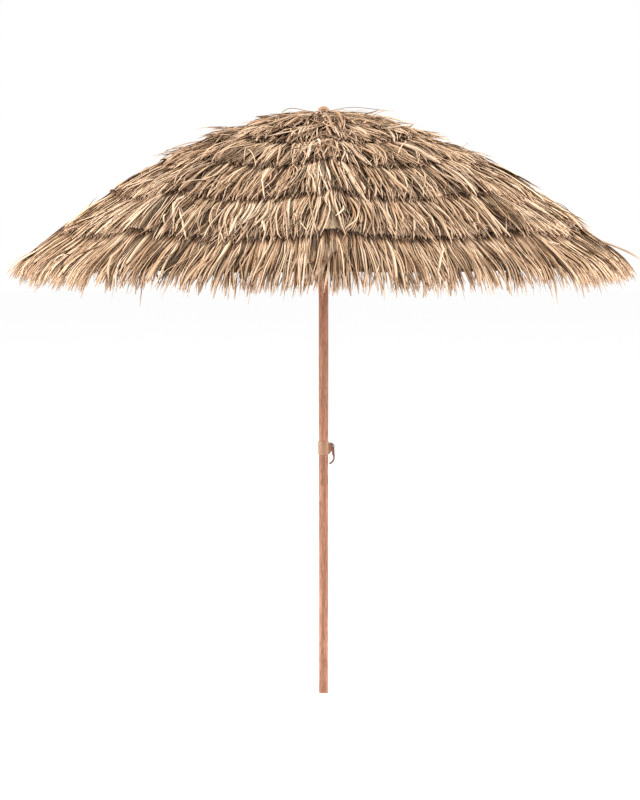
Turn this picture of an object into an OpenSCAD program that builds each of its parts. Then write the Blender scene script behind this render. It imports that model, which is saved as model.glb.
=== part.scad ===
// Beach umbrella with a shingled straw canopy on a two-piece telescopic pole.
// The origin is the centre of the pole's bottom end, +Z is up, the clamp lever is at +X.

/* [Pole] */
// Outer diameter of both pole tubes
pole_d = 32; // [28:1:40]
// Wall of the tubes
wall = 1.2; // [1:0.1:2]
// Height of the joint between the lower and the upper tube
joint_z = 860; // [700:10:950]
// Length of the inner spigot below the joint
spigot_len = 400; // [300:10:500]

/* [Crown and ribs] */
// Number of ribs
ribs = 8; // [8]
// Height of the rib pivots in the crown hub
crown_z = 1928; // [1900:1:1960]
// Radius of the circle of rib pivots
crown_r = 24; // [24:0.5:26]
// Diameter of a rib rod
rib_d = 4.8; // [4.4:0.1:5.4]
// Distance along the rib to the strut's saddle
saddle_s = 470; // [440:5:500]
// Distance from the rib's centre line down to the strut's rivet
saddle_drop = 12; // [11:0.5:14]

/* [Runner and struts] */
// Height of the strut seats in the runner when the umbrella is open
runner_z = 1600; // [1590:1:1610]
// Radius of the circle of strut seats
runner_r = 30; // [29:0.5:32]
// Diameter of a strut rod
strut_d = 4.8; // [4:0.1:5.2]

/* [Canopy and thatch] */
// Thickness of the canopy fabric
fabric_t = 1; // [0.8:0.1:1.6]
// Thickness of a thatch row's solid
row_t = 1.6; // [1.2:0.1:2.4]
// Distance by which the fringe passes the canopy's hem
fringe = 65; // [40:5:80]

/* [Hidden] */
rib_nodes = ["rib_", "rib_fittings_", "canopy_", "thatch_", "strut_"];

pole_r = pole_d / 2;
bore_r = pole_r - wall;
slide_gap = 0.08;      // radial clearance of a running fit
spigot_r = bore_r - slide_gap;
half_gore = 180 / ribs;
seam_gap = 0.4;        // from the middle of a gore to the edge of a rib's sector
rod_r = rib_d / 2;
pin_r = 1.5;
eye_r = 4.5;
eye_t = 5;
slot_w = 6.4;
round_fn = 64;
small_fn = 32;

wood = [0.78, 0.57, 0.46];
plastic = [0.73, 0.53, 0.39];
steel = [0.70, 0.70, 0.70];
straw = [0.62, 0.50, 0.41];
cloth = [0.83, 0.75, 0.64];
brown = [0.22, 0.13, 0.09];

// ---------- Rib curve ----------
// Each arc: length, slope at its start, slope at its end (degrees below level)
rib_arcs = [[300, 8, 16], [430, 16, 35], [360, 35, 41]];
rib_len = rib_arcs[0][0] + rib_arcs[1][0] + rib_arcs[2][0];

function arc_radius(a) = a[0] * 180 / (PI * (a[2] - a[1]));
function arc_step(a, d) = arc_radius(a) * [sin(d) - sin(a[1]), cos(d) - cos(a[1])];
// Where an arc starts, as [radius, height]
function arc_start(i) =
    i == 0 ? [crown_r, crown_z] : arc_start(i - 1) + arc_step(rib_arcs[i - 1], rib_arcs[i - 1][2]);
function arc_of(s) = s <= rib_arcs[0][0] ? 0 : s <= rib_arcs[0][0] + rib_arcs[1][0] ? 1 : 2;
function length_before(i) = i == 0 ? 0 : length_before(i - 1) + rib_arcs[i - 1][0];
function slope_at(s) =
    let (i = arc_of(s), a = rib_arcs[i], t = min(s, rib_len) - length_before(i))
    a[1] + (a[2] - a[1]) * t / a[0];
// Point on the rib's centre line at distance s, straight on past its tip
function rib_at(s) =
    let (i = arc_of(s), d = slope_at(s), past = max(0, s - rib_len))
    arc_start(i) + arc_step(rib_arcs[i], d) + past * [cos(d), -sin(d)];

strut_joint = rib_at(saddle_s) - saddle_drop * [sin(slope_at(saddle_s)), cos(slope_at(saddle_s))];
strut_vector = strut_joint - [runner_r, runner_z];
strut_len = norm(strut_vector);
strut_slope = atan2(strut_vector[1], strut_vector[0]);

// ---------- Canopy surface ----------
// How far the middle of a gore hangs below a straight line from rib to rib
hem_sag = 8;
mid_sag = 27;
function sag_at(s) = let (t = min(1, s / rib_len)) hem_sag * t + mid_sag * sin(180 * pow(t, 1.5));

// Point of the canopy at distance s, at angle phi from its rib, lifted off the rib's centre line
function skin(s, phi, lift) =
    let (
        d = slope_at(s),
        p = rib_at(s) + lift * [sin(d), cos(d)],
        away = half_gore - abs(phi),
        flat_r = p[0] * cos(half_gore) / cos(away),
        droop = sag_at(s) * (1 - pow(tan(away) / tan(half_gore), 2))
    )
    [flat_r * cos(phi), flat_r * sin(phi), p[1] - droop];

gore_cells = 8;
cloth_lift = 5.8;     // from the rib's centre line to the cloth, which clears the saddles
// A closed curved slab; each station is [distance, lower lift, upper lift]
module skin_slab(stations) {
    n = len(stations);
    m = gore_cells + 1;
    function edge_phi(s) = half_gore - atan(seam_gap / rib_at(s)[0]);
    function layer(k) = [
        for (st = stations) for (j = [0 : gore_cells])
            skin(st[0], edge_phi(st[0]) * (2 * j / gore_cells - 1), st[k])
    ];
    function lo(i, j) = i * m + j;
    function hi(i, j) = n * m + i * m + j;
    rim = concat(
        [for (i = [0 : n - 2]) [i, 0]],
        [for (j = [0 : m - 2]) [n - 1, j]],
        [for (i = [n - 1 : -1 : 1]) [i, m - 1]],
        [for (j = [m - 1 : -1 : 1]) [0, j]]
    );
    cells = [for (i = [0 : n - 2]) for (j = [0 : m - 2]) [i, j]];
    tops = [
        for (c = cells) let (i = c[0], j = c[1])
            each [[hi(i, j), hi(i, j + 1), hi(i + 1, j + 1)], [hi(i, j), hi(i + 1, j + 1), hi(i + 1, j)]]
    ];
    undersides = [
        for (c = cells) let (i = c[0], j = c[1])
            each [[lo(i, j), lo(i + 1, j + 1), lo(i, j + 1)], [lo(i, j), lo(i + 1, j), lo(i + 1, j + 1)]]
    ];
    sides = [
        for (k = [0 : len(rim) - 1]) let (p = rim[k], q = rim[(k + 1) % len(rim)])
            each [
                [hi(p[0], p[1]), hi(q[0], q[1]), lo(q[0], q[1])],
                [hi(p[0], p[1]), lo(q[0], q[1]), lo(p[0], p[1])]
            ]
    ];
    polyhedron(points = concat(layer(1), layer(2)), faces = concat(tops, undersides, sides));
}

// ---------- Helpers ----------
module at_rib(i) { rotate([0, 0, (i - 1) * 360 / ribs]) children(); }
module all_ribs() { for (i = [1 : ribs]) at_rib(i) children(); }
// A cylinder across a rib's plane, centred on it
module cross_pin(p, r, length, fn = small_fn) {
    translate([p[0], 0, p[1]]) rotate([90, 0, 0]) cylinder(r = r, h = length, center = true, $fn = fn);
}
// A flat shape in the XZ plane, with its thickness along Y
module plate(thickness) { rotate([90, 0, 0]) linear_extrude(thickness, center = true) children(); }

// ---------- Lower pole ----------
foot_flange = 8;
collar_bottom = joint_z - 45;
neck_r = pole_r - 0.4;       // the tube is swaged down inside the collar
tube_top = joint_z - 5;

module lower_pole() {
    color(wood) difference() {
        union() {
            translate([0, 0, foot_flange])
                cylinder(r = pole_r, h = collar_bottom - 3 - foot_flange, $fn = round_fn);
            translate([0, 0, collar_bottom - 3])
                cylinder(r = neck_r, h = tube_top - collar_bottom + 3, $fn = round_fn);
        }
        translate([0, 0, -1]) cylinder(r = bore_r, h = joint_z, $fn = round_fn);
    }
}

module foot_plug() {
    flange_r = pole_r - 0.5;
    bevel = 1;
    stem = 20;       // the part inside the tube
    color([0.60, 0.36, 0.27]) union() {
        rotate_extrude($fn = round_fn) polygon([
            [0, 0], [flange_r - bevel, 0], [flange_r, bevel], [flange_r, foot_flange - 0.05],
            [0, foot_flange - 0.05]
        ]);
        translate([0, 0, foot_flange / 2]) cylinder(r = bore_r - 0.05, h = foot_flange / 2 + stem, $fn = round_fn);
    }
}

// ---------- Collar and its cam lever ----------
collar_r = 18.5;
collar_bevel = 2;
lever_pin_at = [32, joint_z - 15];
lever_pin_r = 2;
lever_w = 15;
tongue_w = 7;
fork_gap = 0.3;
head_r = 5;
// The lever's hook is an arc about this centre
hook_at = [12, joint_z - 54];
hook_r = 25.8;
hook_t = 5.4;
hook_turn = 66;

module collar() {
    lip = 5;
    color(plastic) difference() {
        union() {
            rotate_extrude($fn = round_fn) polygon([
                [0, collar_bottom], [collar_r - collar_bevel, collar_bottom],
                [collar_r, collar_bottom + collar_bevel], [collar_r, joint_z - collar_bevel - 4],
                [pole_r + 1, joint_z], [0, joint_z]
            ]);
            plate(tongue_w) {
                polygon([
                    [14, collar_bottom + 3], [20, collar_bottom + 2], [26, joint_z - 34],
                    lever_pin_at + [3.6, -2], lever_pin_at + [2, 4], [24, joint_z - 5], [14, joint_z - 5]
                ]);
                translate(lever_pin_at) circle(r = 4, $fn = small_fn);
            }
        }
        translate([0, 0, collar_bottom - 1]) cylinder(r = neck_r + 0.05, h = 46 - lip, $fn = round_fn);
        translate([0, 0, collar_bottom - 1]) cylinder(r = spigot_r + 0.06, h = 60, $fn = round_fn);
        cross_pin(lever_pin_at, lever_pin_r + 0.05, 40);
        translate([-25, -0.8, collar_bottom - 1]) cube([15, 1.6, 50]);
    }
}

module lever_pin() {
    reach = lever_w / 2;
    color(steel) union() {
        cross_pin(lever_pin_at, lever_pin_r, 2 * reach);
        for (side = [-1, 1])
            translate([0, side * (reach + 0.8), 0]) cross_pin(lever_pin_at, lever_pin_r + 1.2, 1.4);
    }
}

module lever_outline() {
    shoulder = hook_at + [hook_r, 0];
    translate(lever_pin_at) circle(r = head_r, $fn = small_fn);
    // The cam's nose, and the arm down to the hook
    polygon([
        lever_pin_at + [0, -3], lever_pin_at + [3.4, 3.6], lever_pin_at + [-5.6, 10.6],
        lever_pin_at + [-7.8, 8.6]
    ]);
    polygon([
        lever_pin_at + [-4.9, 0], lever_pin_at + [-5.6, -13], [28.6, joint_z - 44],
        shoulder - [hook_t, 0], shoulder, [37.2, joint_z - 36], lever_pin_at + [4.4, -8],
        lever_pin_at + [4.9, 0]
    ]);
    intersection() {
        translate(hook_at) difference() {
            circle(r = hook_r, $fn = 2 * round_fn);
            circle(r = hook_r - hook_t, $fn = 2 * round_fn);
        }
        translate(hook_at) polygon([[0, 0], 60 * [cos(hook_turn), -sin(hook_turn)], [60, -60], [60, 0.01]]);
    }
    translate(hook_at + (hook_r - hook_t / 2) * [cos(hook_turn), -sin(hook_turn)])
        circle(r = hook_t / 2, $fn = small_fn);
}

module clamp_lever() {
    fork_w = tongue_w + 2 * fork_gap;
    color(brown) difference() {
        plate(lever_w) lever_outline();
        translate([0, -fork_w / 2, joint_z - 42]) cube([60, fork_w, 60]);
        cross_pin(lever_pin_at, lever_pin_r + 0.08, 40);
    }
}

// ---------- Upper pole ----------
hub_r = 34;
hub_z = [1913, 1942];
stop_z = 1643;
runner_top = 1640;
runner_bottom = 1572;
rivet_z = [joint_z + 25, joint_z + 45];
rivet_r = 2;

module upper_pole() {
    color(wood) difference() {
        translate([0, 0, joint_z + 0.4])
            cylinder(r = pole_r, h = hub_z[1] - joint_z - 0.4, $fn = round_fn);
        translate([0, 0, joint_z - 1]) cylinder(r = bore_r, h = 1200, $fn = round_fn);
        translate([0, 0, stop_z]) rotate([90, 0, 0])
            cylinder(r = 2.05, h = 3 * pole_r, center = true, $fn = small_fn);
        translate([10, -3.2, runner_bottom - 30]) cube([10, 6.4, 29.6]);
        for (z = rivet_z) translate([0, 10, z]) rotate([-90, 0, 0])
            cylinder(r = rivet_r + 0.05, h = 10, $fn = small_fn);
    }
}

module spigot() {
    color(steel) difference() {
        translate([0, 0, joint_z - spigot_len]) cylinder(r = spigot_r, h = spigot_len + 60, $fn = round_fn);
        translate([0, 0, joint_z - spigot_len - 1])
            cylinder(r = spigot_r - wall, h = spigot_len + 70, $fn = round_fn);
        for (z = rivet_z) translate([0, 10, z]) rotate([-90, 0, 0])
            cylinder(r = rivet_r + 0.05, h = 10, $fn = small_fn);
    }
}

module spigot_rivets() {
    color(steel) for (z = rivet_z) translate([0, 0, z]) rotate([-90, 0, 0]) union() {
        translate([0, 0, 12.5]) cylinder(r = rivet_r, h = pole_r - 11.5, $fn = small_fn);
        translate([0, 0, pole_r + 0.05]) cylinder(r1 = 3.4, r2 = 2.4, h = 1, $fn = small_fn);
    }
}

module stop_pin() {
    color(steel) translate([0, 0, stop_z]) rotate([90, 0, 0])
        cylinder(r = 2, h = 2 * pole_r + 6, center = true, $fn = small_fn);
}

module catch_spring() {
    color(steel) plate(5) polygon([
        [12.4, runner_bottom - 92], [13.6, runner_bottom - 92], [13.6, runner_bottom - 27],
        [20, runner_bottom - 4], [20, runner_bottom - 0.8], [12.4, runner_bottom - 0.8]
    ]);
}

module crown_hub() {
    color(plastic) difference() {
        translate([0, 0, hub_z[0]]) cylinder(r = hub_r, h = hub_z[1] - hub_z[0], $fn = round_fn);
        translate([0, 0, hub_z[0] - 1]) cylinder(r = pole_r + 0.05, h = 50, $fn = round_fn);
        all_ribs() {
            translate([18.6, -slot_w / 2, hub_z[0] - 1]) cube([30, slot_w, crown_z + 7 - hub_z[0] + 1]);
            cross_pin([crown_r, crown_z], pin_r + 0.04, 13.2);
        }
    }
}

module crown_pins() {
    color(steel) all_ribs() cross_pin([crown_r, crown_z], pin_r, 13);
}

finial_r = 18.5;
finial_top = 1975;
module finial() {
    head_z = 1951;
    widest_z = finial_top - 9;
    dome_r = 23.5;
    color(wood) union() {
        translate([0, 0, hub_z[1] - 26]) cylinder(r = bore_r - 0.05, h = 27, $fn = round_fn);
        translate([0, 0, hub_z[1] + 0.1]) cylinder(r = 20, h = 2.4, $fn = round_fn);
        translate([0, 0, hub_z[1] + 0.5]) cylinder(r = 12, h = 10, $fn = round_fn);
        translate([0, 0, head_z]) cylinder(r1 = 16.5, r2 = finial_r, h = widest_z - head_z, $fn = round_fn);
        intersection() {
            translate([0, 0, finial_top - dome_r]) sphere(r = dome_r, $fn = round_fn);
            translate([0, 0, widest_z - 1]) cylinder(r = finial_r, h = 30, $fn = round_fn);
        }
    }
}

module crown_cap() {
    color(cloth) rotate_extrude($fn = round_fn) polygon([
        [20.5, hub_z[1] + 0.3], [36, hub_z[1] + 0.3], [62, 1930], [62, 1930 + fabric_t],
        [36, hub_z[1] + 0.3 + fabric_t], [20.5, hub_z[1] + 0.3 + fabric_t]
    ]);
}

// The tuft of straw tied round the finial's neck, as one thin shell
module topknot() {
    outline = [[16, 1947.5], [61, 1955], [142, 1953], [222, 1932], [266, 1920]];
    shell = 3;
    color(straw) rotate_extrude($fn = round_fn) polygon(concat(
        outline, [for (k = [len(outline) - 1 : -1 : 0]) outline[k] - [0, shell]]
    ));
}

// ---------- Runner ----------
module runner() {
    sleeve_r = 21;
    flange_r = 37;
    color(plastic) difference() {
        union() {
            translate([0, 0, runner_bottom])
                cylinder(r = sleeve_r, h = runner_top - runner_bottom, $fn = round_fn);
            translate([0, 0, runner_z - 6]) cylinder(r = flange_r, h = 14, $fn = round_fn);
        }
        translate([0, 0, runner_bottom - 1]) cylinder(r = pole_r + slide_gap, h = 80, $fn = round_fn);
        all_ribs() {
            translate([23, -slot_w / 2, runner_z - 10]) cube([20, slot_w, 30]);
            translate([runner_r - 3.2, -8.5, runner_z - 10]) cube([20, 17, 13.2]);
        }
    }
}

// ---------- Rib assemblies ----------
module rod_arc(i, r) {
    a = rib_arcs[i];
    big = arc_radius(a);
    centre = arc_start(i) - big * [sin(a[1]), cos(a[1])];
    // The arc runs clockwise in the rib's plane, from 90 - start slope to 90 - end slope
    translate([centre[0], 0, centre[1]]) rotate([90, 0, 0]) rotate([0, 0, 90 - a[2]])
        rotate_extrude(angle = a[2] - a[1], $fn = 720) translate([big, 0]) circle(r = r, $fn = small_fn);
}

// A short sleeve over the place where arc i starts
module rod_joint(i) {
    p = arc_start(i);
    translate([p[0], 0, p[1]]) rotate([0, 90 + rib_arcs[i][1], 0])
        cylinder(r = rod_r + 0.05, h = 6, center = true, $fn = small_fn);
}

module rib(i) {
    color(steel) at_rib(i) difference() {
        union() {
            for (k = [0 : 2]) rod_arc(k, rod_r);
            for (k = [1, 2]) rod_joint(k);
            cross_pin([crown_r, crown_z], eye_r, eye_t);
        }
        cross_pin([crown_r, crown_z], pin_r + 0.05, 20);
    }
}

module rib_fittings(i) {
    // Pressed saddle round the rod, its rivet, and the cap on the rib's tip
    d = slope_at(saddle_s);
    cheek = 1.6;
    inside = eye_t / 2 + 0.35;
    saddle_l = 26;
    tip = rib_at(rib_len);
    tip_slope = slope_at(rib_len);
    at_rib(i) {
        color(steel) difference() {
            union() {
                for (side = [-1, 1]) translate([0, side * (inside + cheek / 2), 0]) union() {
                    translate([rib_at(saddle_s)[0], 0, rib_at(saddle_s)[1]]) rotate([0, d, 0])
                        translate([-saddle_l / 2, -cheek / 2, -9]) cube([saddle_l, cheek, 11.6]);
                    cross_pin(strut_joint, 5.5, cheek);
                }
                translate([rib_at(saddle_s)[0], 0, rib_at(saddle_s)[1]]) rotate([0, d, 0])
                    translate([-saddle_l / 2, -inside - 0.2, rod_r + 0.3])
                    cube([saddle_l, 2 * inside + 0.4, 0.8]);
            }
            cross_pin(strut_joint, pin_r + 0.04, 20);
        }
        color(steel) union() {
            cross_pin(strut_joint, pin_r, 2 * (inside + cheek) + 0.2);
            for (side = [-1, 1])
                translate([0, side * (inside + cheek + 0.6), 0]) cross_pin(strut_joint, 2.6, 1);
        }
        color(brown) translate([tip[0], 0, tip[1]]) rotate([0, 90 + tip_slope, 0]) union() {
            translate([0, 0, 0.1]) cylinder(r = 4.4, h = 9, $fn = small_fn);
            translate([0, 0, 9]) sphere(r = 4.4, $fn = small_fn);
        }
    }
}

module canopy(i) {
    stations = [for (s = [48, 140, 240, 360, 470, 580, 690, 800, 900, 1000, rib_len - 4])
        [s, cloth_lift, cloth_lift + fabric_t]];
    color(cloth) at_rib(i) skin_slab(stations);
}

// Each row of straw: start, lift there, free end, lift there
row_lift = 9;
rows = [
    [130, row_lift, 372, 36], [300, row_lift, 542, 32], [470, row_lift, 728, 35],
    [650, row_lift, 936, 24], [870, row_lift, rib_len + fringe, 15]
];
module thatch(i) {
    color(straw) at_rib(i) for (row = rows)
        skin_slab([for (t = [0, 1 / 3, 2 / 3, 1])
            let (s = row[0] + (row[2] - row[0]) * t, lift = row[1] + (row[3] - row[1]) * t)
            [s, lift, lift + row_t]]);
}

module strut(i) {
    foot = [runner_r, runner_z];
    color(steel) at_rib(i) difference() {
        union() {
            translate([foot[0], 0, foot[1]]) rotate([0, 90 - strut_slope, 0])
                cylinder(r = strut_d / 2, h = strut_len, $fn = small_fn);
            cross_pin(foot, strut_d / 2, 14);
            cross_pin(strut_joint, eye_r, eye_t);
        }
        cross_pin(strut_joint, pin_r + 0.05, 20);
    }
}

lower_pole();
foot_plug();
collar();
lever_pin();
clamp_lever();
upper_pole();
spigot();
spigot_rivets();
crown_hub();
crown_pins();
finial();
crown_cap();
topknot();
stop_pin();
catch_spring();
runner();
for (i = [1 : ribs]) rib(i);
for (i = [1 : ribs]) rib_fittings(i);
for (i = [1 : ribs]) canopy(i);
for (i = [1 : ribs]) thatch(i);
for (i = [1 : ribs]) strut(i);
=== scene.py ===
import math

import bpy
import numpy as np
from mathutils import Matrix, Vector


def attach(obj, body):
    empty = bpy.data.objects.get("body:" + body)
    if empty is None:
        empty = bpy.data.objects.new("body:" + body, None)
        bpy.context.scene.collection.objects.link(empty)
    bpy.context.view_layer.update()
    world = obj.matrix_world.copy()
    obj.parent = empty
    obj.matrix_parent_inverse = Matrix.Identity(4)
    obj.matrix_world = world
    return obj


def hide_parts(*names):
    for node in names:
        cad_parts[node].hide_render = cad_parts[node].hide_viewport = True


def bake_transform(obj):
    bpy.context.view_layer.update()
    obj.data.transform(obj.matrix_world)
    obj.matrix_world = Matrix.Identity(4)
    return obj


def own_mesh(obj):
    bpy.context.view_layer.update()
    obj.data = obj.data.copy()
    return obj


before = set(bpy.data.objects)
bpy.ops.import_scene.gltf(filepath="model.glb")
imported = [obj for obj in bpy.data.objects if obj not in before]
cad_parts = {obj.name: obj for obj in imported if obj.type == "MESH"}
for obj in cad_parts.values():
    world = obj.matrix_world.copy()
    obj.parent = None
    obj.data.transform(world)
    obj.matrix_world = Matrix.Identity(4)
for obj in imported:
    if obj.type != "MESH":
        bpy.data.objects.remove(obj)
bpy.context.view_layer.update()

RIBS = 8
HALF_GORE = math.pi / RIBS
CROWN = (0.024, 1.928)             # radius and height of a rib's pivot
# Each arc of a rib: length, slope at its start, slope at its end (degrees below level)
RIB_ARCS = ((0.300, 8, 16), (0.430, 16, 35), (0.360, 35, 41))
RIB_LENGTH = sum(arc[0] for arc in RIB_ARCS)
CLOTH_LIFT = 0.0058                # from a rib's centre line to the cloth
CLOTH_START, CLOTH_END = 0.036, RIB_LENGTH - 0.004    # distances along a rib


# ---------- Small tools ----------
def add_object(name, data):
    made = bpy.data.objects.new(name, data)
    bpy.context.scene.collection.objects.link(made)
    return made


def deselect():
    bpy.ops.object.select_all(action="DESELECT")


def select_only(piece):
    deselect()
    bpy.context.view_layer.objects.active = piece
    piece.select_set(True)


def apply_modifiers(piece):
    select_only(piece)
    for modifier in list(piece.modifiers):
        bpy.ops.object.modifier_apply(modifier=modifier.name)


def finish_in(piece, material):
    piece.data.materials.clear()
    piece.data.materials.append(material)


# ---------- Camera, light and floor ----------
WARM_WHITE = (1.0, 0.98, 0.95)
BOX_SIZE = (2.2, 3.0)              # width and height of a soft box


def make_camera():
    distance, turn, pitch = 7.0, math.radians(1.7), math.radians(5.6)
    target = Vector((-0.012, 0, 0.999))
    back = Vector((-math.sin(turn) * math.cos(pitch), -math.cos(turn) * math.cos(pitch),
                   math.sin(pitch)))
    camera = add_object("camera", bpy.data.cameras.new("camera"))
    camera.location = target + back * distance
    camera.rotation_euler = (-back).to_track_quat("-Z", "Y").to_euler()
    camera.data.lens = 94
    camera.data.sensor_width = 36
    camera.data.clip_end = 100
    bpy.context.scene.camera = camera


def soft_box(name, place, look_at, watts):
    light = add_object(name, bpy.data.lights.new(name, "AREA"))
    light.location = place
    light.rotation_euler = (Vector(look_at) - Vector(place)).to_track_quat("-Z", "Y").to_euler()
    light.data.shape = "RECTANGLE"
    light.data.size, light.data.size_y = BOX_SIZE
    light.data.energy = watts
    light.data.color = WARM_WHITE


def make_studio():
    bpy.context.scene.view_settings.view_transform = "Standard"
    world = bpy.data.worlds.new("studio")
    bpy.context.scene.world = world
    world.use_nodes = True
    background = world.node_tree.nodes["Background"]
    background.inputs["Color"].default_value = (1, 1, 1, 1)
    background.inputs["Strength"].default_value = 1.0
    soft_box("left_box", (-4.5, -0.7, 3.3), (0, 0, 1.6), 550)
    soft_box("right_box", (4.5, -0.6, 3.5), (0, 0, 1.7), 530)
    deselect()
    bpy.ops.mesh.primitive_plane_add(size=60, location=(0, 0, 0))
    floor = bpy.context.object
    floor.name = "floor"
    return floor


# ---------- Shader maths ----------
class Socket:
    """A shader value: arithmetic on it adds the Math nodes."""

    def __init__(self, tree, output):
        self.tree, self.output = tree, output

    def _math(self, operation, other, swap=False):
        pair = (other, self) if swap else (self, other)
        return node(self.tree, "ShaderNodeMath", {"operation": operation}, dict(enumerate(pair)))

    def __add__(self, other): return self._math("ADD", other)
    def __radd__(self, other): return self._math("ADD", other, True)
    def __rsub__(self, other): return self._math("SUBTRACT", other, True)
    def __mul__(self, other): return self._math("MULTIPLY", other)
    def __rmul__(self, other): return self._math("MULTIPLY", other, True)


def node(tree, kind, settings=None, values=None, out=0):
    """Adds a node, sets it up, and gives one of its outputs."""
    made = tree.nodes.new(kind)
    for key, value in (settings or {}).items():
        if key == "stops":
            ramp = made.color_ramp
            while len(ramp.elements) < len(value):
                ramp.elements.new(0.5)
            for element, (place, colour) in zip(ramp.elements, value):
                element.position = place
                element.color = (*colour, 1)
        else:
            setattr(made, key, value)
    for key, value in (values or {}).items():
        socket = made.inputs[key]
        if isinstance(value, Socket):
            tree.links.new(value.output, socket)
        else:
            socket.default_value = value
    return Socket(tree, made.outputs[out])


def greys(*stops):
    """Stops of a grey ramp, from pairs of place and value."""
    return [(place, (value, value, value)) for place, value in stops]


class Finish:
    """A material under construction, with its Principled shader."""

    def __init__(self, name, **uniform):
        self.material = bpy.data.materials.new(name)
        self.material.use_nodes = True
        self.tree = self.material.node_tree
        self.shader = self.tree.nodes["Principled BSDF"]
        for key, value in uniform.items():
            self.shader.inputs[key.replace("_", " ")].default_value = value

    def add(self, kind, settings=None, values=None, out=0):
        return node(self.tree, kind, settings, values, out)

    def place(self, output="Object"):
        return self.add("ShaderNodeTexCoord", out=output)

    def stretched(self, scale, output="Object"):
        return self.add("ShaderNodeMapping", None, {"Vector": self.place(output), "Scale": scale})

    def maths(self, operation, *values):
        return self.add("ShaderNodeMath", {"operation": operation}, dict(enumerate(values)))

    def noise(self, vector, scale, detail=3.0, roughness=0.55, distortion=0.0):
        return self.add("ShaderNodeTexNoise", None,
                        {"Vector": vector, "Scale": scale, "Detail": detail,
                         "Roughness": roughness, "Distortion": distortion})

    def ramp(self, value, stops):
        return self.add("ShaderNodeValToRGB", {"stops": stops}, {"Fac": value})

    def attribute(self, name):
        return self.add("ShaderNodeAttribute", {"attribute_name": name}, out="Fac")

    def mix(self, share, a, b, blend="MIX"):
        def colour(c):
            return c if isinstance(c, Socket) else (*c, 1)
        return self.add("ShaderNodeMix", {"data_type": "RGBA", "blend_type": blend},
                        {0: share, 6: colour(a), 7: colour(b)}, out=2)

    def feed(self, **links):
        for key, socket in links.items():
            self.tree.links.new(socket.output, self.shader.inputs[key.replace("_", " ")])

    def bump(self, height, strength, distance):
        return self.add("ShaderNodeBump", None,
                        {"Height": height, "Strength": strength, "Distance": distance})


# ---------- Materials ----------
ZINC = ((0.21, 0.21, 0.205), (0.35, 0.35, 0.34))    # dull and bright patches of the plating
STITCH_WIDTH, STITCHES_PER_METRE = 0.0018, 150
CAP_RADIUS = 0.8                   # the fittings further out than this are the ribs' end caps


def straw_finish():
    """Dry raffia: each strand has its own tone, lengthwise fibres and a paler tip, with painted shade at
    its root and on its lower edges and a painted highlight along its ridge.
    """
    f = Finish("raffia_straw", Specular_IOR_Level=0.15)
    tone, along, ridge = f.attribute("tone"), f.attribute("along"), f.attribute("ridge")
    fibres = f.noise(f.stretched((9, 1.2, 1), "UV"), 6, 3)
    blotches = f.noise(f.place(), 14, 2)
    # The low end of the ramp, near black, is painted shade: the bed, the stubs, the tufts' edges and
    # their lower layer get low tones.
    base = f.ramp(tone, [
        (0.0, (0.012, 0.005, 0.002)), (0.18, (0.074, 0.030, 0.011)), (0.38, (0.31, 0.176, 0.090)),
        (0.62, (0.58, 0.400, 0.258)), (1.0, (0.81, 0.645, 0.480))])
    streaked = f.mix(f.ramp(fibres, greys((0.42, 0), (0.72, 0.7))), base, (0.26, 0.155, 0.09))
    faded = f.mix(f.ramp(blotches, greys((0.45, 0), (0.7, 0.25))), streaked, (0.60, 0.47, 0.34))
    # Painted shade: each strand darkens towards its root, where the ends of the row above shade it.
    root = f.ramp(along, [(0.0, (0.06, 0.045, 0.035)), (0.10, (0.30, 0.235, 0.18)),
                          (0.22, (1, 1, 1))])
    root_shaded = f.mix(1.0, faded, root, "MULTIPLY")
    # Painted highlight along each strand's ridge and painted shade on its two lower edges, read from the
    # ridge attribute.
    ridge_highlight_edge_shade = f.ramp(ridge, [(0.0, (0.50, 0.47, 0.44)), (0.35, (0.85, 0.84, 0.83)),
                            (0.8, (0.95, 0.95, 0.95)), (0.97, (1.20, 1.20, 1.20))])
    shaded = f.mix(1.0, root_shaded, ridge_highlight_edge_shade, "MULTIPLY")
    paler = f.ramp(along, greys((0.72, 0), (1.0, 0.4)))
    f.feed(Base_Color=f.mix(paler, shaded, (0.74, 0.51, 0.35)), Roughness=0.52 + 0.25 * fibres)
    f.feed(Normal=f.bump(fibres + 0.3 * blotches, 0.35, 0.0006))
    return f.material


def cloth_finish():
    """Plain-woven beige cloth on its UV map in metres, with the straw's stitch lines across it."""
    f = Finish("canopy_cloth", Sheen_Weight=0.15, Specular_IOR_Level=0.25)
    threads = f.stretched((900, 900, 1), "UV")

    def bands(direction):
        return f.add("ShaderNodeTexWave", {"wave_type": "BANDS", "bands_direction": direction},
                     {"Vector": threads, "Scale": 0.5, "Distortion": 0.4}, out="Fac")

    weave = bands("X") * bands("Y")
    wash = f.noise(f.place(), 7, 3)
    body = f.mix(wash, (0.43, 0.30, 0.185), (0.50, 0.365, 0.235))
    woven = f.mix(weave * 0.35, body, (0.30, 0.20, 0.125))
    across, down = (f.add("ShaderNodeSeparateXYZ", None, {"Vector": f.place("UV")}, out=axis)
                    for axis in ("X", "Y"))
    lines = 0.0
    for row in ROWS:
        lines = f.maths("COMPARE", down, row.root, STITCH_WIDTH / 2) + lines
    dashes = f.maths("GREATER_THAN", f.maths("FRACT", across * STITCHES_PER_METRE), 0.35)
    stitches = lines * dashes
    f.feed(Base_Color=f.mix(stitches, woven, (0.22, 0.13, 0.075)), Roughness=0.80 + 0.1 * weave)
    f.feed(Normal=f.bump(weave + 2 * stitches, 0.4, 0.0003))
    return f.material


def hem_finish():
    # Near-black: painted shade, the deep shade that the straw casts on the hem.
    f = Finish("shaded_hem_binding", Specular_IOR_Level=0.2)
    ribs = f.noise(f.stretched((400, 400, 400)), 1.0, 2)
    f.feed(Base_Color=f.mix(ribs, (0.055, 0.035, 0.024), (0.12, 0.08, 0.055)),
           Roughness=0.7 + 0.2 * ribs)
    f.feed(Normal=f.bump(ribs, 0.4, 0.0004))
    return f.material


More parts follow.
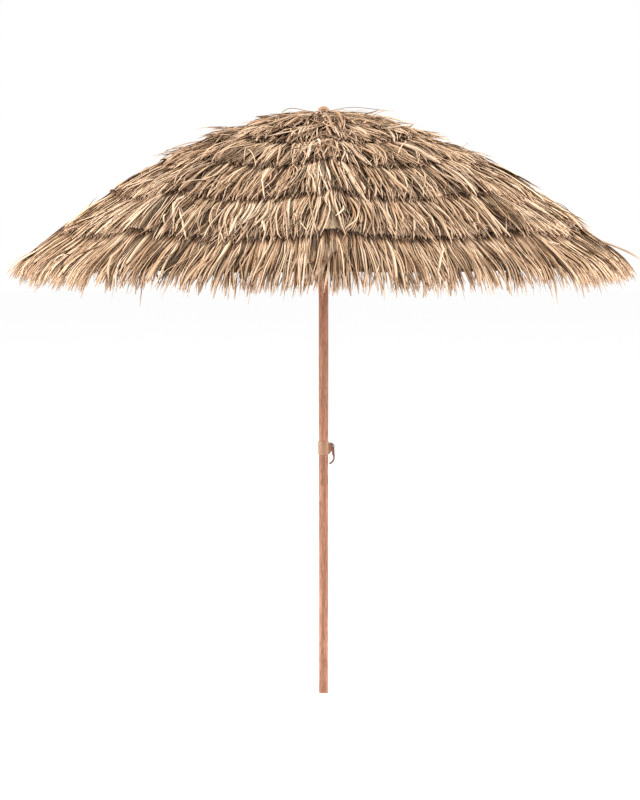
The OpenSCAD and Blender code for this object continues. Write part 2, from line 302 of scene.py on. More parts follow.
def wood_look_finish():
    """Printed wood-look foil on the tube: streaks and short dark pores that run along the pole."""
    f = Finish("wood_look", Specular_IOR_Level=0.25, Coat_Weight=0.05, Coat_Roughness=0.4)
    streaks = f.noise(f.stretched((1, 1, 0.06)), 130, 3, 0.6, 0.8)
    figure = f.noise(f.stretched((1, 1, 0.14)), 150, 3, 0.6, 1.2)
    pores = f.noise(f.stretched((1, 1, 0.10)), 420, 2, 0.5)
    body = f.ramp(streaks, [(0.32, (0.190, 0.080, 0.048)), (0.5, (0.262, 0.122, 0.074)),
                            (0.70, (0.34, 0.170, 0.108))])
    figured = f.mix(f.ramp(figure, greys((0.50, 0), (0.66, 0.75))), body, (0.105, 0.040, 0.021))
    dark = f.mix(f.ramp(pores, greys((0.58, 0), (0.70, 0.6))), figured, (0.070, 0.026, 0.014))
    f.feed(Base_Color=dark, Roughness=0.48 + 0.22 * figure)
    f.feed(Normal=f.bump(figure * 0.6 + pores * 0.4, 0.18, 0.0003))
    return f.material


def turned_wood_finish():
    """Turned and varnished wood: rings across the finial, and grain up it."""
    f = Finish("turned_wood", Specular_IOR_Level=0.4, Coat_Weight=0.15, Coat_Roughness=0.3)
    rings = f.noise(f.stretched((0.15, 0.15, 1)), 900, 3, 0.6)
    grain = f.noise(f.stretched((1, 1, 0.12)), 320, 3, 0.6, 0.6)
    body = f.mix(f.ramp(grain, greys((0.38, 0), (0.66, 1))),
                 (0.40, 0.225, 0.125), (0.245, 0.118, 0.060))
    f.feed(Base_Color=f.mix(rings * 0.3, body, (0.17, 0.085, 0.045)), Roughness=0.38 + 0.2 * grain)
    f.feed(Normal=f.bump(rings + grain, 0.2, 0.0003))
    return f.material


def plastic_finish(name, light, dark, roughness, grain_height):
    """Moulded plastic: a fine eroded grain, and faint flow marks."""
    f = Finish(name, Specular_IOR_Level=0.5)
    grain = f.noise(f.place(), 1900, 2)
    marks = f.noise(f.stretched((1, 1, 0.4)), 60, 3)
    f.feed(Base_Color=f.mix(marks, dark, light), Roughness=roughness + 0.12 * marks)
    f.feed(Normal=f.bump(grain + 0.4 * marks, grain_height, 0.0002))
    return f.material


def steel_finish():
    """Zinc-plated rod and pressed steel, with drawn lines and dull patches."""
    f = Finish("zinc_steel", Metallic=1.0)
    patches = f.noise(f.place(), 35, 4)
    lines = f.noise(f.stretched((1, 1, 0.15)), 1400, 2)
    f.feed(Base_Color=f.mix(patches, *ZINC),
           Roughness=0.26 + 0.22 * patches + 0.08 * lines)
    f.feed(Normal=f.bump(lines, 0.12, 0.0001))
    return f.material


def fittings_finish():
    """Zinc-plated saddle and rivet, and at the rim of the canopy the rib's dark plastic cap."""
    f = Finish("rib_fittings")
    patches = f.noise(f.place(), 35, 4)
    radius = f.add("ShaderNodeVectorMath", {"operation": "LENGTH"},
                   {0: f.stretched((1, 1, 0))}, out="Value")
    cap = f.maths("GREATER_THAN", radius, CAP_RADIUS)
    zinc = f.mix(patches, *ZINC)
    plastic = f.mix(patches, (0.045, 0.022, 0.015), (0.075, 0.036, 0.024))
    f.feed(Base_Color=f.mix(cap, zinc, plastic), Metallic=1 - cap,
           Roughness=0.26 + 0.22 * patches + 0.1 * cap)
    return f.material


def floor_finish():
    f = Finish("pale_floor", Roughness=0.9, Specular_IOR_Level=0.1)
    f.feed(Base_Color=f.mix(f.noise(f.place(), 3, 2), (0.97, 0.97, 0.97), (0.985, 0.985, 0.985)))
    return f.material


# ---------- The canopy's surface ----------
def _arc_starts():
    starts, p = [], np.array(CROWN)
    for length, first, last in RIB_ARCS:
        starts.append(p.copy())
        a, b = math.radians(first), math.radians(last)
        p = p + length / (b - a) * np.array([math.sin(b) - math.sin(a), math.cos(b) - math.cos(a)])
    return starts


ARC_STARTS = _arc_starts()


def rib_at(s):
    """Radius, height and slope of a rib's centre line at distances s, straight on past the tip."""
    s = np.asarray(s, float)
    radius, height, slope = np.zeros_like(s), np.zeros_like(s), np.zeros_like(s)
    begun = 0.0
    for k, (length, first, last) in enumerate(RIB_ARCS):
        here = s >= begun if k else np.ones_like(s, bool)
        t = np.clip(s - begun, -1, length)
        a = math.radians(first)
        bend = math.radians(last - first) / length
        d = a + bend * t
        over = np.maximum(s - begun - length, 0)
        r = ARC_STARTS[k][0] + (np.sin(d) - math.sin(a)) / bend + over * np.cos(d)
        z = ARC_STARTS[k][1] + (np.cos(d) - math.cos(a)) / bend - over * np.sin(d)
        radius, height, slope = (np.where(here, new, old)
                                 for new, old in ((r, radius), (z, height), (d, slope)))
        begun += length
    return radius, height, slope


def sag_at(s):
    """How far the middle of a gore hangs below the line between its ribs."""
    t = np.clip(np.asarray(s, float) / RIB_LENGTH, 0, 1)
    return 0.008 * t + 0.027 * np.sin(np.pi * t ** 1.5)


def half_width(s):
    """Half the width of a gore at distances s."""
    return rib_at(s)[0] * math.sin(HALF_GORE)


def gore_point(gore, s, u, lift):
    """Points over gore number gore, at distance s from the crown, u across from its middle (in half
    widths, -1 to 1 from rib to rib), lifted off the ribs' centre lines by lift."""
    radius, height, slope = rib_at(s)
    radius = radius + lift * np.sin(slope)
    height = height + lift * np.cos(slope) - sag_at(s) * np.clip(1 - u * u, 0, 1)
    out = radius * math.cos(HALF_GORE)
    side = u * radius * math.sin(HALF_GORE)
    turn = (2 * gore - 1) * HALF_GORE
    x = out * math.cos(turn) - side * math.sin(turn)
    y = out * math.sin(turn) + side * math.cos(turn)
    return np.stack([x, y, height], -1)


def rib_direction(i):
    turn = 2 * (i - 1) * HALF_GORE
    return Vector((math.cos(turn), math.sin(turn), 0))


def rib_tangent(i):
    turn = 2 * (i - 1) * HALF_GORE
    return Vector((-math.sin(turn), math.cos(turn), 0))


def sector_point(i, s, across, lift):
    """Points of the sector round rib i; across runs from -1 to 1, from middle to middle of its gores."""
    u = np.where(across >= 0, across - 1, across + 1)
    left = gore_point(i - 1, s, u, lift)
    right = gore_point(i, s, u, lift)
    return np.where((across >= 0)[..., None], right, left)


def fold_with_rib(piece, i, keep):
    """The piece moves with rib i."""
    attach(piece, f"rib_{i}")
    tuple(rib_tangent(i))
    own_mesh(piece)


# ---------- Cloth ----------
CLOTH_KEEP = 0.13                  # share of its width that a cloth sector keeps when it is folded
CLOTH_WALL = 0.0008
CLOTH_COLUMNS = 33                 # points across a sector
HEM_WIDTH, HEM_WALL = 0.013, 0.0026
SEAM_HALF, SEAM_WALL = 0.006, 0.0007


def sheet_on_grid(name, points, uvs, wall):
    """A sheet, wall thick, on a grid of points, rows x columns x 3, with their UV coordinates."""
    rows, columns, _ = points.shape
    faces = [(r * columns + c, (r + 1) * columns + c, (r + 1) * columns + c + 1, r * columns + c + 1)
             for r in range(rows - 1) for c in range(columns - 1)]
    mesh = bpy.data.meshes.new(name)
    mesh.from_pydata([tuple(p) for p in points.reshape(-1, 3)], [], faces)
    mesh.update()
    mesh.polygons.foreach_set("use_smooth", [True] * len(mesh.polygons))
    layer = mesh.uv_layers.new(name="UVMap")
    uvs = uvs.reshape(-1, 2)
    for loop in mesh.loops:
        layer.data[loop.index].uv = uvs[loop.vertex_index]
    piece = add_object(name, mesh)
    thickness = piece.modifiers.new("thickness", "SOLIDIFY")
    thickness.thickness = wall
    thickness.offset = 1
    apply_modifiers(piece)
    return piece


def sector_sheet(name, i, s, lift, wall):
    """A sheet over the whole width of rib i's sector, at the distances s from the crown."""
    grid_s, across = np.meshgrid(s, np.linspace(-1, 1, CLOTH_COLUMNS), indexing="ij")
    points = sector_point(i, grid_s, across, np.full_like(grid_s, lift))
    return sheet_on_grid(name, points, np.stack([across * half_width(grid_s), grid_s], -1), wall)


def gore_seam(name, i, s):
    """The felled seam of two gores, which lies on top of the cloth along rib i."""
    share = np.minimum(SEAM_HALF / half_width(s), 0.2)
    steps = np.linspace(-1, 1, 5)
    lift = np.full_like(s, CLOTH_LIFT + CLOTH_WALL + 0.0001)
    points = np.stack([sector_point(i, s, step * share, lift) for step in steps], 1)
    down, wide = np.meshgrid(s, np.arange(len(steps)) * SEAM_HALF / 2, indexing="ij")
    return sheet_on_grid(name, points, np.stack([wide, down], -1), SEAM_WALL)


def make_cloth(i, cloth, hem_look):
    piece = sector_sheet(f"canopy_cloth_{i}", i, np.linspace(CLOTH_START, CLOTH_END, 46),
                         CLOTH_LIFT, CLOTH_WALL)
    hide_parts(f"canopy_{i}")
    # The hem binding goes round the cloth's edge
    hem = sector_sheet(f"hem_{i}", i, np.linspace(CLOTH_END - HEM_WIDTH, CLOTH_END + 0.001, 4),
                       CLOTH_LIFT - (HEM_WALL - CLOTH_WALL) / 2, HEM_WALL)
    seam = gore_seam(f"gore_seam_{i}", i,
                     np.linspace(CLOTH_START + 0.004, CLOTH_END - HEM_WIDTH - 0.001, 60))
    for part, look in ((piece, cloth), (hem, hem_look), (seam, cloth)):
        finish_in(part, look)
        fold_with_rib(part, i, CLOTH_KEEP)
    width, length = 2 * float(half_width(CLOTH_END)), CLOTH_END - CLOTH_START
    area = length * float(np.mean(2 * half_width(np.linspace(CLOTH_START, CLOTH_END, 400))))


# ---------- Straw ----------
SIDES = 3                          # a strand is a flat three-sided prism that narrows to its tip
BELOW, ABOVE = 0.33, 0.67          # shares of its height below and above its centre line
FIBRE_SHIFT = 37.0                 # moves the fibres from strand to strand


def strand_taper(k):
    """A strand's width at k along it, as a share of its full width."""
    return np.interp(k, [0, 0.1, 0.8, 0.94, 1], [0.6, 1, 0.95, 0.72, 0.26])


def strand_mesh(name, paths, widths, rolls, tones, flats):
    """One mesh of many strands. paths is strands x rings x 3; the others are one value a strand."""
    count, rings, _ = paths.shape
    ahead = np.gradient(paths, axis=1)
    ahead /= np.linalg.norm(ahead, axis=2, keepdims=True) + 1e-12
    up = np.zeros_like(ahead)
    up[..., 2] = 1
    side = np.cross(ahead, up)
    side /= np.linalg.norm(side, axis=2, keepdims=True) + 1e-9
    top = np.cross(side, ahead)
    cos, sin = np.cos(rolls)[..., None], np.sin(rolls)[..., None]
    wide = side * cos + top * sin
    high = top * cos - side * sin
    t = np.linspace(0, 1, rings)
    half = widths[:, None] * 0.5 * strand_taper(t)[None, :]
    tall = half * flats[:, None]
    corners = np.stack([
        paths - wide * half[..., None] - high * tall[..., None] * BELOW,
        paths + wide * half[..., None] - high * tall[..., None] * BELOW,
        paths + high * tall[..., None] * ABOVE], 2)
    points = corners.reshape(-1, 3)
    ring = np.arange(rings - 1)[:, None] * SIDES + np.arange(SIDES)[None, :]
    nxt = np.arange(rings - 1)[:, None] * SIDES + (np.arange(SIDES)[None, :] + 1) % SIDES
    quads = np.stack([ring, nxt, nxt + SIDES, ring + SIDES], -1).reshape(-1, 4)
    base = np.arange(count)[:, None, None] * rings * SIDES
    quads = (quads[None] + base).reshape(-1, 4)
    start = np.array([[2, 1, 0]])
    end = np.array([[0, 1, 2]]) + (rings - 1) * SIDES
    caps = (np.concatenate([start, end])[None] + base).reshape(-1, 3)
    mesh = bpy.data.meshes.new(name)
    mesh.vertices.add(len(points))
    mesh.vertices.foreach_set("co", points.astype(np.float32).ravel())
    loops = np.concatenate([quads.ravel(), caps.ravel()])
    mesh.loops.add(len(loops))
    mesh.loops.foreach_set("vertex_index", loops.astype(np.int32))
    starts = np.concatenate([np.arange(len(quads)) * 4, len(quads) * 4 + np.arange(len(caps)) * 3])
    mesh.polygons.add(len(starts))
    mesh.polygons.foreach_set("loop_start", starts.astype(np.int32))
    mesh.update(calc_edges=True)
    uv = mesh.uv_layers.new(name="UVMap")
    along = np.tile(np.repeat(t, SIDES), count)
    around = (np.tile(np.tile(np.arange(SIDES) / SIDES, rings), count)
              + np.repeat(tones * FIBRE_SHIFT, rings * SIDES))
    uvs = np.stack([around[loops], along[loops] * 3 + around[loops]], -1)
    uv.data.foreach_set("uv", uvs.astype(np.float32).ravel())
    tone = np.repeat(tones, rings * SIDES)
    # ridge is 1 on each strand's top edge: the straw's material paints a highlight there and shade on
    # its lower edges.
    ridge = np.tile((0.0, 0.0, 1.0), count * rings)
    for label, values in (("tone", tone), ("along", along), ("ridge", ridge)):
        attribute = mesh.attributes.new(label, "FLOAT", "POINT")
        attribute.data.foreach_set("value", values.astype(np.float32))
    mesh.validate()
    return add_object(name, mesh)


class Row:
    """One sewn row of straw: where it starts and ends along the rib, its height above the ribs' centre
    lines at both ends, the width of a tuft, how far it fans out with the gore, how untidy it is, the
    share of its width it keeps when folded, how ragged its end is, and its tone."""

    def __init__(self, number, root, tip, lifts, tuft, fan, mess, keep, ragged=1.0, tone=0.54):
        self.number, self.root, self.tip, self.tuft = number, root, tip, tuft
        self.fan, self.mess, self.keep, self.ragged, self.tone = fan, mess, keep, ragged, tone
        self.root_lift = lifts[0]
        self.climb = lifts[1] - lifts[0]
        self.length = tip - root
        self.half = float(half_width(root))
        self.middle = float(half_width(root + 0.6 * self.length))

    def width(self, s):
        """Half the width that the row has spread to at distances s."""
        return self.half * (half_width(s) / self.half) ** self.fan


FRINGE_END = RIB_LENGTH + 0.074
ROWS = (
    Row(1, 0.175, 0.374, (0.010, 0.031), 0.034, 0.93, 1.9, 0.46),
    Row(2, 0.338, 0.546, (0.008, 0.027), 0.035, 0.85, 1.5, 0.36),
    Row(3, 0.512, 0.733, (0.008, 0.026), 0.036, 0.74, 1.3, 0.26),
    Row(4, 0.698, 0.938, (0.007, 0.021), 0.037, 0.64, 1.2, 0.19),
    Row(5, 0.906, FRINGE_END, (0.006, 0.017), 0.032, 0.84, 0.85, 0.14, 0.55, 0.47),
)
RINGS = 10
ALONG = np.linspace(0, 1, RINGS)[None, :]    # from a strand's root to its tip
SPRING = 3.2                       # how soon a strand rises from the seam
RISE = (1 - np.exp(-SPRING * ALONG)) / (1 - math.exp(-SPRING))
LAYERS = 2                         # of tufts in a row
TUFT_STRANDS = 9
STRAND_WIDTH = 0.0060              # the median
WIDTH_SPREAD = 0.34                # of the logarithm of the width
MOST_ROLL = 1.0                    # radians about its length
BED_WIDTHS, BED_FLATS = (0.004, 0.007), (0.2, 0.4)
TUFT_FLATS, LOOSE_FLATS = (0.25, 0.6), (0.3, 0.6)    # height as a share of half the width
BED_COVER = 1.3                    # width of the bed's strands together, as a share of the row's
STUB_GAP = 0.0055                  # from stub to stub, along the seam
EDGE_GAP = 0.011                   # from the middle of an outermost tuft to the rib


def smooth_noise(rng, count, waves):
    """Smooth random wander along each strand, zero at its root."""
    total = np.zeros((count, RINGS))
    for k in range(1, waves + 1):
        phase = rng.uniform(0, 2 * np.pi, (count, 1))
        wave = np.sin(2 * np.pi * k * ALONG * 0.8 + phase) - np.sin(phase)
        total += rng.normal(0, 1, (count, 1)) / k * wave
    return total


def kinked(rng, count, share, size):
    """Offset of strands of which some share turns off at a kink; size is the usual amount."""
    at = rng.uniform(0.25, 0.9, (count, 1))
    amount = rng.normal(0, size, (count, 1)) * (rng.random((count, 1)) < share)
    return amount * np.maximum(ALONG - at, 0)


class Strands:
    """Strands of one row or of the topknot, gathered before they are made into meshes."""

    def __init__(self, rng):
        self.rng, self.parts = rng, []

    def add(self, paths, rib, widths, tones, flats, roll=0.6, twist=0.9):
        count = len(paths)
        rolls = (self.rng.normal(0, roll, (count, 1))
                 + self.rng.normal(0, twist, (count, 1)) * ALONG)
        self.parts.append((paths, rib, widths, np.clip(rolls, -MOST_ROLL, MOST_ROLL),
                           np.clip(tones, 0, 1), flats))

    def pieces(self, name, material):
        columns = [np.concatenate(column) for column in zip(*self.parts)]
        paths, rib, widths, rolls, tones, flats = columns
        for i in range(1, RIBS + 1):
            pick = rib == i
            piece = strand_mesh(name.format(i), paths[pick], widths[pick], rolls[pick],
                                tones[pick], flats[pick])
            finish_in(piece, material)
            yield i, piece


def clear_of_cloth(lift, widths):
    """The lift, no less than what keeps a rolled strand's edges off the cloth."""
    return np.maximum(lift, 0.0080 + 0.48 * widths[:, None])


def nearest_rib(gore, u):
    rib = np.where(u < 0, gore, gore + 1)
    return np.where(rib < 1, rib + RIBS, rib)


def over_gores(gore, s, u, lift):
    paths = np.zeros((*s.shape, 3))
    for g in range(RIBS):
        pick = gore == g
        paths[pick] = gore_point(g, s[pick], u[pick], lift[pick])
    return paths


def row_bed(row, rng, strands):
    """The bed: flat strands close to the cloth, in dark tones as painted shade under the tufts."""
    count = int(RIBS * 2 * row.middle / STRAND_WIDTH * BED_COVER)
    gore = rng.integers(0, RIBS, count)
    place = rng.uniform(-0.99, 0.99, count)
    bed_end = min(row.tip - 0.015, CLOTH_END - 0.004)
    s = row.root + (bed_end - row.root) * rng.uniform(0.9, 1.0, (count, 1)) * ALONG
    side = (place[:, None] * row.width(s) + rng.normal(0, 0.012, (count, 1)) * ALONG
            + smooth_noise(rng, count, 2) * 0.002)
    lift = row.root_lift + row.climb * 0.25 * RISE * rng.random((count, 1)) + 0.001
    widths = rng.uniform(*BED_WIDTHS, count)
    u = np.clip(side / half_width(s), -1, 1)
    strands.add(over_gores(gore, s, u, clear_of_cloth(lift, widths)), nearest_rib(gore, place),
                widths, rng.uniform(0.0, 0.16, count), rng.uniform(*BED_FLATS, count), 0.3, 0.4)


def row_tufts(row, rng, strands, edge):
    """The tufts, in layers: first what a tuft's strands share, then each strand."""
    each = int(round(2 * row.middle / row.tuft))
    total = RIBS * LAYERS * each
    tuft_gore = np.repeat(np.arange(RIBS), LAYERS * each)
    layer = np.tile(np.repeat(np.arange(LAYERS), each), RIBS) / (LAYERS - 1)
    slot = np.tile(np.arange(each), RIBS * LAYERS)
    centre = -1 + 2 * (slot + 0.5 + rng.uniform(-0.55, 0.55, total)) / each
    centre = np.clip(centre, -edge, edge)
    lean = rng.normal(0, 0.07, total) * row.length * row.mess
    bow = rng.normal(0, 0.035, total) * row.length * row.mess
    tuft_tone = rng.normal(0, 0.05, total)
    tuft_end = rng.normal(0, 0.010, total)
    tuft_lift = rng.normal(0, 0.0028, total)
    spread = rng.uniform(0.75, 1.25, total)

    t = ALONG
    tuft = np.repeat(np.arange(total), TUFT_STRANDS)
    count = len(tuft)
    v = np.tile(np.linspace(-1, 1, TUFT_STRANDS), total) + rng.normal(0, 0.16, count)
    gore, high = tuft_gore[tuft], layer[tuft]
    end = row.tip + row.ragged * (tuft_end[tuft] + rng.normal(0, 0.013, count)
                                  - 0.05 * rng.random(count) ** 3 - 0.012 * v ** 2)
    s = row.root + rng.normal(0, 0.003, (count, 1)) + (end - row.root)[:, None] * t
    half_tuft = (row.tuft * 0.5 * spread[tuft][:, None]
                 * (0.6 + 0.35 * np.sin(np.pi * t ** 0.8) + 0.5 * t))
    side = (centre[tuft][:, None] * row.width(s) + v[:, None] * half_tuft
            + lean[tuft][:, None] * t ** 1.3 + bow[tuft][:, None] * np.sin(np.pi * t)
            + rng.normal(0, 0.011, (count, 1)) * t * row.mess
            + smooth_noise(rng, count, 3) * 0.0024 * row.mess
            + kinked(rng, count, 0.45, 0.22 * row.length * row.mess))
    share = 0.42 + 0.58 * high[:, None]
    bulge = (0.006 * (1 - np.clip(v, -1, 1) ** 2)[:, None]
             * np.sin(np.pi * np.clip(t * 0.95 + 0.05, 0, 1)) ** 0.6)
    lift = (row.root_lift + row.climb * RISE * share + bulge - 0.003
            + tuft_lift[tuft][:, None] * t + smooth_noise(rng, count, 2) * 0.0011 * row.mess
            + kinked(rng, count, 0.25, 0.035) + 0.004 * rng.normal(0, 1, (count, 1)) * t ** 3)
    # Past the hem nothing holds the straw up, so that it droops
    past = np.maximum(s - CLOTH_END, 0)
    lift = lift - 2.2 * past ** 2
    # Painted shade and light: a tuft's edge strands are darker, its lower layer darker and its upper
    # layer lighter, on top of each strand's random tone.
    tones = (row.tone + tuft_tone[tuft] + rng.normal(0, 0.17, count) - 0.14 * np.abs(v) ** 2
             + 0.22 * (high - 0.5))
    widths = np.exp(rng.normal(math.log(STRAND_WIDTH), WIDTH_SPREAD, count))
    lift = np.where(past > 0, lift, clear_of_cloth(lift, widths))
    strands.add(over_gores(gore, s, side / half_width(s), lift), nearest_rib(gore, centre[tuft]),
                widths, tones, rng.uniform(*TUFT_FLATS, count), 0.5, 0.7)


def row_stubs(row, rng, strands, edge):
    """Short stubs that stick out of the seam, in dark tones as painted shade under the ends of the row
    above.
    """
    count = int(RIBS * 2 * row.half / STUB_GAP)
    gore = rng.integers(0, RIBS, count)
    place = rng.uniform(-edge, edge, count)
    s = (row.root + rng.uniform(-0.004, 0.010, (count, 1))
         + rng.uniform(0.014, 0.034, (count, 1)) * ALONG)
    side = place[:, None] * row.half + rng.normal(0, 0.010, (count, 1)) * ALONG
    lift = (row.root_lift + 0.003
            + rng.uniform(0.2, 0.9, (count, 1)) * row.climb * np.sin(np.pi * 0.75 * ALONG))
    widths = rng.uniform(0.003, 0.006, count)
    strands.add(over_gores(gore, s, side / half_width(s), clear_of_cloth(lift, widths)),
                nearest_rib(gore, place), widths, rng.uniform(0.02, 0.34, count),
                rng.uniform(*LOOSE_FLATS, count))


def row_loose(row, rng, strands):
    """Loose strands that lie across the others."""
    count = int(14 * row.mess * row.half / 0.2)
    gore = rng.integers(0, RIBS, count)
    place = rng.uniform(-0.9, 0.9, count)
    start = rng.uniform(row.root + 0.3 * row.length, row.tip - 0.35 * row.length, count)
    reach = rng.uniform(0.05, 0.16, count)
    heading = rng.normal(0, 0.9, count)
    curl = rng.normal(0, 1.3, (count, 1)) * ALONG
    s = start[:, None] + reach[:, None] * ALONG * np.cos(heading[:, None] + curl * 0.5)
    side = (place[:, None] * half_width(s)
            + reach[:, None] * ALONG * np.sin(heading[:, None] + curl * 0.5))
    lift = (row.root_lift + row.climb * (0.8 + 0.2 * ALONG) + 0.004
            + 0.012 * np.sin(np.pi * ALONG))
    u = np.clip(side / half_width(s), -1.1, 1.1)
    strands.add(over_gores(gore, s, u, np.broadcast_to(lift, s.shape)), nearest_rib(gore, place),
                rng.uniform(0.002, 0.0048, count), rng.uniform(0.75, 1.0, count),
                rng.uniform(*LOOSE_FLATS, count))


def straw_row(row, straw):
    """One sewn row of straw all the way round, as one piece for each rib's sector."""
    rng = np.random.default_rng(100 + row.number)
    strands = Strands(rng)
    edge = 1 - EDGE_GAP / row.half
    row_bed(row, rng, strands)
    row_tufts(row, rng, strands, edge)
    row_stubs(row, rng, strands, edge)
    row_loose(row, rng, strands)
    for i, piece in strands.pieces(f"straw_row_{row.number}_rib_{{}}", straw):
        fold_with_rib(piece, i, row.keep)
        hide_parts(f"thatch_{i}")


# The topknot's upper and lower surface: radius and height
KNOT_TOP = ((0.012, 1.9475), (0.025, 1.950), (0.06, 1.950), (0.14, 1.940), (0.22, 1.919),
            (0.30, 1.894), (0.36, 1.872))
KNOT_BOTTOM = ((0.012, 1.9455), (0.06, 1.942), (0.14, 1.929), (0.22, 1.912), (0.30, 1.888),
               (0.36, 1.866))
KNOT_INNER = 0.0135                # radius at which the strands start
KNOT_BED, KNOT_TUFTS, KNOT_WHISKERS = 500, 84, 90
KNOT_ROUNDS = 3                    # times that the tufts go round


def make_topknot(straw):
    """The tuft tied round the finial's neck, spread over the crown."""
    rng = np.random.default_rng(77)
    strands = Strands(rng)
    t = ALONG
    cloth_radius, cloth_height, _ = rib_at(np.linspace(0, 0.5, 60))
    cloth_height = cloth_height + CLOTH_LIFT + 0.0055

    def spread(turn, reach, depth, drift, messy):
        """Strands at angles turn, out to radius reach, depth of the way up from bottom to top."""
        count = len(turn)
        radius = KNOT_INNER + (reach[:, None] - KNOT_INNER) * t
        top = np.interp(radius, *zip(*KNOT_TOP))
        bottom = np.interp(radius, *zip(*KNOT_BOTTOM))
        height = (bottom + (top - bottom) * depth[:, None]
                  + smooth_noise(rng, count, 2) * 0.003 * messy)
        height = height + kinked(rng, count, 0.3, 0.03)
        height = np.maximum(height, np.interp(radius, cloth_radius, cloth_height))
        angle = turn[:, None] + drift * t + kinked(rng, count, 0.45, 0.9) * messy
        side = smooth_noise(rng, count, 3) * 0.0035 * messy
        return np.stack([radius * np.cos(angle) - side * np.sin(angle),
                         radius * np.sin(angle) + side * np.cos(angle), height], -1)

    def rib_of(turn):
        return np.round(turn / (2 * HALF_GORE)).astype(int) % RIBS + 1

    # The bed, in dark tones as painted shade under the tufts
    count = KNOT_BED
    turn = rng.uniform(0, 2 * np.pi, count)
    paths = spread(turn, rng.uniform(0.18, 0.24, count), rng.uniform(0, 0.3, count),
                   rng.normal(0, 0.1, (count, 1)), 0.6)
    strands.add(paths, rib_of(turn), rng.uniform(*BED_WIDTHS, count),
                rng.uniform(0.03, 0.25, count), rng.uniform(*BED_FLATS, count), 0.3, 0.4)
    # The tufts
    total = KNOT_TUFTS
    centre = (np.arange(total) + rng.uniform(-0.5, 0.5, total)) * 2 * np.pi / total * KNOT_ROUNDS
    lean, tone = rng.normal(0, 0.22, total), rng.normal(0, 0.09, total)
    reach = rng.normal(0.265, 0.035, total)
    high = rng.uniform(0.45, 1.0, total)
    tuft = np.repeat(np.arange(total), TUFT_STRANDS)
    count = len(tuft)
    v = np.tile(np.linspace(-1, 1, TUFT_STRANDS), total) + rng.normal(0, 0.2, count)
    turn = (centre[tuft] + v * 0.075) % (2 * np.pi)
    depth = high[tuft] - 0.35 * v ** 2 * 0.6 + rng.normal(0, 0.06, count)
    ends = reach[tuft] + rng.normal(0, 0.018, count) - 0.06 * rng.random(count) ** 3
    drift = lean[tuft][:, None] + rng.normal(0, 0.05, (count, 1)) - v[:, None] * 0.03
    # Painted shade and light: edge strands are darker, lower tufts darker and higher ones lighter, on
    # top of each tuft's random tone.
    tones = 0.50 + tone[tuft] + rng.normal(0, 0.20, count) - 0.16 * v ** 2 + 0.35 * (high[tuft] - 0.7)
    strands.add(spread(turn, ends, depth, drift, 1.2), rib_of(turn),
                np.exp(rng.normal(math.log(STRAND_WIDTH * 1.2), WIDTH_SPREAD, count)), tones,
                rng.uniform(*TUFT_FLATS, count))
    # Loose whiskers
    count = KNOT_WHISKERS
    turn = rng.uniform(0, 2 * np.pi, count)
    paths = spread(turn, rng.uniform(0.15, 0.28, count), rng.uniform(0.9, 1.3, count),
                   rng.normal(0, 0.6, (count, 1)), 1.2)
    strands.add(paths, rib_of(turn), rng.uniform(0.0015, 0.0035, count),
                rng.uniform(0.6, 1.0, count), rng.uniform(*LOOSE_FLATS, count))
    for i, piece in strands.pieces("topknot_rib_{}", straw):
        way = rib_direction(i)
        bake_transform(piece)
        if i == 1:
            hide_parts("topknot")


def make_neck_tie(straw):
    """Three turns of raffia that tie the topknot round the finial's neck."""
    deselect()
    turns = []
    for k, degrees in enumerate((-4, 3, -2)):
        tilt = math.radians(degrees)
        bpy.ops.mesh.primitive_torus_add(major_segments=40, minor_segments=8, major_radius=0.0148,
                                         minor_radius=0.0014, location=(0, 0, 1.9475 + 0.0016 * k),
                                         rotation=(tilt, tilt, 0))
        turns.append(bpy.context.object)
    for turn in turns:
        turn.select_set(True)
    bpy.ops.object.join()
    bpy.ops.object.transform_apply(location=True, rotation=True, scale=True)
    tie = bpy.context.object
    tie.name = "neck_tie"
    for label, value in (("tone", 0.62), ("along", 0.6), ("ridge", 0.6)):
        attribute = tie.data.attributes.new(label, "FLOAT", "POINT")
        attribute.data.foreach_set("value", [value] * len(tie.data.vertices))
    finish_in(tie, straw)
    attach(tie, "upper_pole")


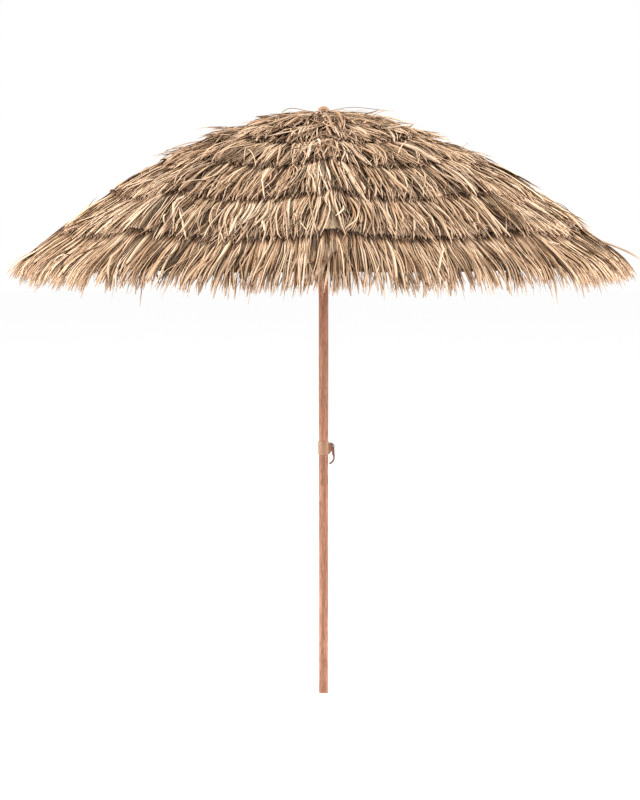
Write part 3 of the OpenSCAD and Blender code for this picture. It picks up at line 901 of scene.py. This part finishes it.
# ---------- Moulded and turned pieces ----------
def softened(node_name, piece_name, body, material, edge):
    """A copy of a CAD node with its sharp edges rounded, which stands for it."""
    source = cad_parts[node_name]
    piece = add_object(piece_name, source.data.copy())
    select_only(piece)
    bpy.ops.object.mode_set(mode="EDIT")
    bpy.ops.mesh.select_all(action="SELECT")
    bpy.ops.mesh.remove_doubles(threshold=0.00001)
    bpy.ops.mesh.dissolve_limited(angle_limit=math.radians(0.5))
    bpy.ops.object.mode_set(mode="OBJECT")
    bevel = piece.modifiers.new("rounded edges", "BEVEL")
    bevel.width = edge
    bevel.segments = 3
    bevel.limit_method = "ANGLE"
    bevel.angle_limit = math.radians(40)
    bevel.use_clamp_overlap = True
    apply_modifiers(piece)
    select_only(piece)
    bpy.ops.object.shade_smooth_by_angle(angle=math.radians(35))
    finish_in(piece, material)
    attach(piece, body)
    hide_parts(node_name)


def main():
    make_camera()
    floor = make_studio()
    finish_in(floor, floor_finish())
    straw = straw_finish()
    cloth = cloth_finish()
    hem = hem_finish()
    wood = wood_look_finish()
    tan = plastic_finish("tan_plastic", (0.262, 0.137, 0.078), (0.215, 0.108, 0.060), 0.42, 0.12)
    brown = plastic_finish("brown_plastic", (0.17, 0.065, 0.042), (0.10, 0.034, 0.022), 0.16, 0.04)
    foot = plastic_finish("foot_plastic", (0.27, 0.112, 0.068), (0.22, 0.085, 0.050), 0.5, 0.15)
    turned = turned_wood_finish()
    steel = steel_finish()
    fittings = fittings_finish()
    looks = {"lower_pole": wood, "upper_pole": wood, "lever_pin": steel, "spigot": steel,
             "spigot_rivets": steel, "crown_pins": steel, "crown_cap": cloth, "stop_pin": steel,
             "catch_spring": steel}
    for i in range(1, RIBS + 1):
        looks[f"rib_{i}"] = looks[f"strut_{i}"] = steel
        looks[f"rib_fittings_{i}"] = fittings
    for name, look in looks.items():
        finish_in(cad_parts[name], look)
    softened("finial", "turned_finial", "upper_pole", turned, 0.0010)
    softened("foot_plug", "moulded_foot", "lower_pole", foot, 0.0008)
    softened("collar", "moulded_collar", "lower_pole", tan, 0.0007)
    softened("clamp_lever", "moulded_lever", "clamp_lever", brown, 0.0011)
    softened("crown_hub", "moulded_hub", "upper_pole", tan, 0.0006)
    softened("runner", "moulded_runner", "runner", tan, 0.0006)
    for i in range(1, RIBS + 1):
        make_cloth(i, cloth, hem)
    for row in ROWS:
        straw_row(row, straw)
    make_topknot(straw)
    make_neck_tie(straw)


main()
